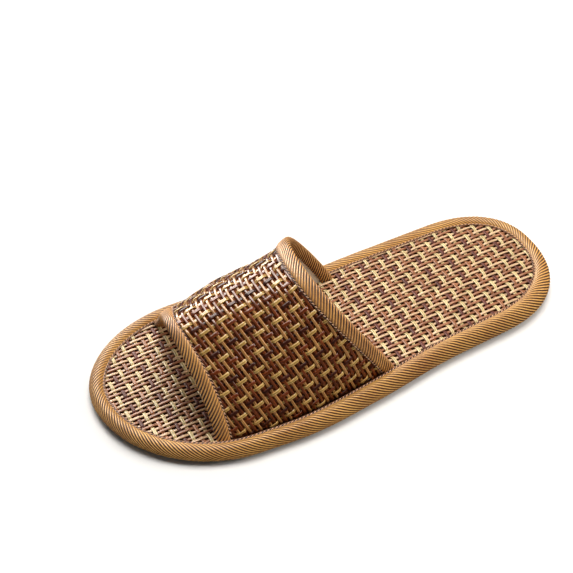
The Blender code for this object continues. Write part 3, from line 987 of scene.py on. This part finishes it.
THIN_STEP = 0.41  # millimetres from one of those 430 points to the next, about
TWILL_SHIFT = 1.5  # of the thin straws' count on the strap
FRONT_TUCK = 2.6  # by which the front rim's tape is narrower at the crest
TUCK_POWER = 4.3  # the higher, the nearer to the crest that stays
STRAP_SHADED_STRAWS = (  # as for the mat; darker copies of the mat's colours, painted shade of the strap
    ("cream", (0.31, 0.165, 0.034), (0.64, 0.40, 0.125), 0.12, 0.65),
    ("peach", (0.24, 0.098, 0.023), (0.53, 0.26, 0.085), 0.12, 0.65),
    ("pink_brown", (0.060, 0.011, 0.002), (0.215, 0.047, 0.007), 0.12, 0.6),
    ("brown", (0.060, 0.010, 0.0015), (0.205, 0.043, 0.005), 0.12, 0.6),
    ("red_brown", (0.070, 0.011, 0.001), (0.20, 0.037, 0.003), 0.12, 0.6),
    ("mauve", (0.029, 0.005, 0.0020), (0.069, 0.014, 0.0050), 0.08, 0.3),
)


def tuck(part):
    """How much narrower the front rim's tape is at parts of its length, most at the crest."""
    point = STRAP.point(0.0, part, 0.0)
    rise = (point[..., 2] - top_z(point[..., 1]) - STRAP_GAP) / (STRAP_FRONT[2] - STRAP_GAP)
    return FRONT_TUCK * np.clip(rise, 0.0, 1.0) ** TUCK_POWER


def strap_down(share, part):
    """Distance down the little-toe side from thick straw 0, and toward the heel from thin 0."""
    down = (0.5 - part) * STRAP.length(share) - THICK_START + THICK_CLIMB * share
    down /= THICK_STRETCH
    back = (STRAP.at(STRAP.from_front, share, part) - THIN_START - THIN_BOW * (part - 0.5) ** 2
            + tuck(part)) / THIN_STRETCH
    return down, back


def weave_strap():
    names = [row[0] for row in STRAP_SHADED_STRAWS]
    materials = [make_straw("strap_" + row[0], *row[1:]) for row in STRAP_SHADED_STRAWS]
    thick_sheet, thin_sheet = StrawSheet(STRAP_THICK_SIZE), StrawSheet(STRAP_THIN_SIZE)

    def lay(sheet, share, part, lift, slot):
        """A straw along shares and parts of the strap, where it lies above the sole."""
        line = STRAP.point(share, part, STRAP_MIDDLE + lift)
        base = STRAP.point(share, part, STRAP_MIDDLE)
        keep = base[:, 2] > top_z(base[:, 1]) - FOOT_CUT
        if keep.sum() < 4:
            return
        first, last = np.flatnonzero(keep)[[0, -1]]
        line, base = line[first:last + 1], base[first:last + 1]
        share, part = share[first:last + 1], part[first:last + 1]
        up = unit(STRAP.at(STRAP.out, share, part))
        across = unit(np.cross(np.gradient(base, axis=0), up))
        sheet.lay(line, across, up, slot)

    for m in range(*THICK_STRAWS):
        share = np.linspace(0.0, 1.0, THICK_POINTS)
        down = THICK_START + THICK_STRETCH * THICK_PITCH * m - THICK_CLIMB * share
        part = 0.5 - down / STRAP.length(share)
        if part.max() < THICK_MISSES[0] or part.min() > THICK_MISSES[1]:
            continue
        part = np.clip(part, *THICK_PARTS)
        front = STRAP.at(STRAP.from_front, share, part)
        back = STRAP.at(STRAP.from_back, share, part)
        keep = (front > STRAW_ENDS - tuck(part)) & (back > STRAW_ENDS)
        if keep.sum() < 6:
            continue
        share, part, front = share[keep], part[keep], front[keep]
        steps = max(int((front[-1] - front[0]) / THIN_PITCH * THICK_STEPS), 5)
        wanted = np.linspace(front[0], front[-1], steps)
        share, part = np.interp(wanted, front, share), np.interp(wanted, front, part)
        across_straws = strap_down(share, part)[1] / THIN_PITCH
        lift = THICK_LIFT * carried(-m, across_straws + TWILL_SHIFT)
        lay(thick_sheet, share, part, lift, names.index(THICK_SHADES[(2 - m) % 4]))
    for step in range(*THIN_STRAWS):
        n = step + 0.5
        part = np.linspace(*THIN_PARTS)
        distance = (THIN_START + THIN_STRETCH * THIN_PITCH * n + THIN_BOW * (part - 0.5) ** 2
                    - tuck(part))
        share = np.array([STRAP.share_at(d, p) for d, p in zip(distance, part)])
        keep = ((distance > STRAW_ENDS - tuck(part))
                & (STRAP.at(STRAP.from_back, share, part) > STRAW_ENDS))
        edges = np.flatnonzero(np.diff(np.concatenate(((0,), keep.astype(int), (0,)))))
        for low, high in zip(edges[::2], edges[1::2]):
            if high - low < 8:
                continue
            steps = max(int((high - low) * THIN_STEP / THICK_PITCH * THIN_STEPS), 5)
            parts = np.linspace(part[low], part[high - 1], steps)
            shares = np.interp(parts, part, share)
            down_straws = strap_down(shares, parts)[0] / THICK_PITCH
            lift = -THIN_LIFT * carried(-down_straws, n + TWILL_SHIFT)
            shade = THIN_SHADES[int(n + TWILL_SHIFT) % 4]
            lay(thin_sheet, shares, parts, lift, names.index(shade))
    thick_sheet.finish("strap_thick_straws", materials, "upper", "strap_straw")
    thin_sheet.finish("strap_thin_straws", materials, "upper", "strap_straw")


weave_strap()


# Rim tapes: twill in a slightly browner, darker copy of the edge tape's colours, partly painted shade
# of the strap, folded over the strap's front and back rims, outside and inside, and sewn through. Each
# foot of a tape runs down into the sole's seam.
RIM_TAPE_OUTER = (  # distance from the rim, out from the strap's face, share of the ribs
    (8.2, -0.10, 0.0),
    (8.1, 0.30, 0.2),
    (7.95, 0.30, 0.2),
    (7.75, 0.02, 0.2),
    (7.2, 0.02, 0.2),
    (6.8, 0.42, 0.5),
    (6.2, 0.68, 0.8),
    (5.4, 0.80, 1.0),
    (4.1, 0.86, 1.0),
    (3.0, 0.86, 1.0),
    (1.8, 0.82, 1.0),
    (0.8, 0.66, 1.0),
    (0.15, 0.22, 1.0),
    (-0.15, -0.45, 1.0),
    (-0.15, -1.15, 1.0),
    (0.15, -1.85, 1.0),
    (0.8, -2.35, 1.0),
    (2.2, -2.55, 1.0),
    (4.4, -2.55, 1.0),
    (6.3, -2.45, 0.7),
    (7.0, -2.05, 0.0),
)
RIM_TAPE_INNER = (
    (6.6, -1.80, 0.0),
    (3.0, -1.90, 0.0),
    (1.3, -1.70, 0.0),
    (0.8, -0.90, 0.0),
    (1.3, -0.15, 0.0),
    (4.0, -0.05, 0.0),
)
RIM_TAPE_WIDTH = 8.2
RIM_RIB_PITCH = 2.25
RIM_RIB_SLANT = 1.3
RIM_SPARE = 8.0  # of tape past each foot before it is cut
RIM_PARTS = (-0.045, 1.045)
RIM_CUT = 0.6  # of the feet, below the insole plane
TUCK_SPREAD = 1.5  # power by which the tuck grows from the rim to the tape's hem
DEGENERATE = 1e-6  # metres, under which an edge of the pinched ends is dissolved
# A slightly browner, darker copy of the edge tape's colours, with darker grooves, hem and seam: partly
# painted shade of the strap.
RIM_TAPE = make_twill_tape("brown_twill_tape", gloss_level=0.5,
                           groove_shade=(0.030, 0.005, 0.001), hem_shade=(0.10, 0.030, 0.008),
                           seam_shadow=(0.025, 0.006, 0.001),
                           dark=(0.42, 0.155, 0.034), light=(0.78, 0.39, 0.100))


def make_rim_tape(name, from_back, replaced):
    distance, out, rib = np.array(RIM_TAPE_OUTER + RIM_TAPE_INNER).T
    across, push_in, push_out = tape_section(distance, out, len(RIM_TAPE_OUTER))
    length = float(STRAP.length(1.0 if from_back else 0.0))
    slant = RIM_RIB_SLANT if from_back else -RIM_RIB_SLANT
    lean = abs(slant) * max(across)
    stations = int((length + lean + 2 * RIM_SPARE) / RIM_RIB_PITCH * RIB_STEPS)
    start = -RIM_SPARE - (lean if from_back else 0.0)
    points = []
    for i in range(stations + 1):
        run = start + i * RIM_RIB_PITCH / RIB_STEPS + slant * across
        part = np.clip(run / length, *RIM_PARTS)
        push = RIB_HEIGHT * rib_height(i) * rib
        place = distance + push_in * push
        if not from_back:
            place -= tuck(part) * (np.maximum(place, 0.0) / RIM_TAPE_WIDTH) ** TUCK_SPREAD
        share = np.array([STRAP.share_at(d, p, from_back) for d, p in zip(place, part)])
        points.append(STRAP.point(share, part, out + push_out * push))
    faces, uvs = tape_faces(stations, stations + 1, across)
    piece = mesh_piece(name, np.concatenate(points), faces, [RIM_TAPE], uvs=uvs)
    bpy.context.view_layer.objects.active = piece
    bpy.ops.object.mode_set(mode="EDIT")
    bpy.ops.mesh.select_all(action="SELECT")
    bpy.ops.mesh.dissolve_degenerate(threshold=DEGENERATE)
    bpy.ops.mesh.select_all(action="SELECT")
    bpy.ops.mesh.bisect(plane_co=(0, 0, (TOP_MIDDLE - RIM_CUT) * MM),
                        plane_no=(0, TOP_SLOPE, 1), use_fill=True, clear_inner=True)
    bpy.ops.object.mode_set(mode="OBJECT")
    recalculate(piece)
    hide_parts(replaced)


make_rim_tape("front_rim_tape", False, "strap_front_binding")
make_rim_tape("back_rim_tape", True, "strap_back_binding")


# Rim seams: the same thread along the outer hem of each rim tape, through tape and strap.
RIM_SEAM = 7.5  # from the rim
RIM_SEAM_OUT = 0.42
RIM_SEAM_POINTS = 240


def sew_rim(name, from_back, replaced):
    part = np.linspace(0.0, 1.0, RIM_SEAM_POINTS)
    place = RIM_SEAM - (0.0 if from_back else 1.0) * tuck(part)
    share = np.array([STRAP.share_at(d, p, from_back) for d, p in zip(place, part)])
    line = STRAP.point(share, part, RIM_SEAM_OUT)
    sew(name, line, STRAP.at(STRAP.out, share, part), replaced)


sew_rim("front_rim_seam", False, "strap_front_binding")
sew_rim("back_rim_seam", True, "strap_back_binding")
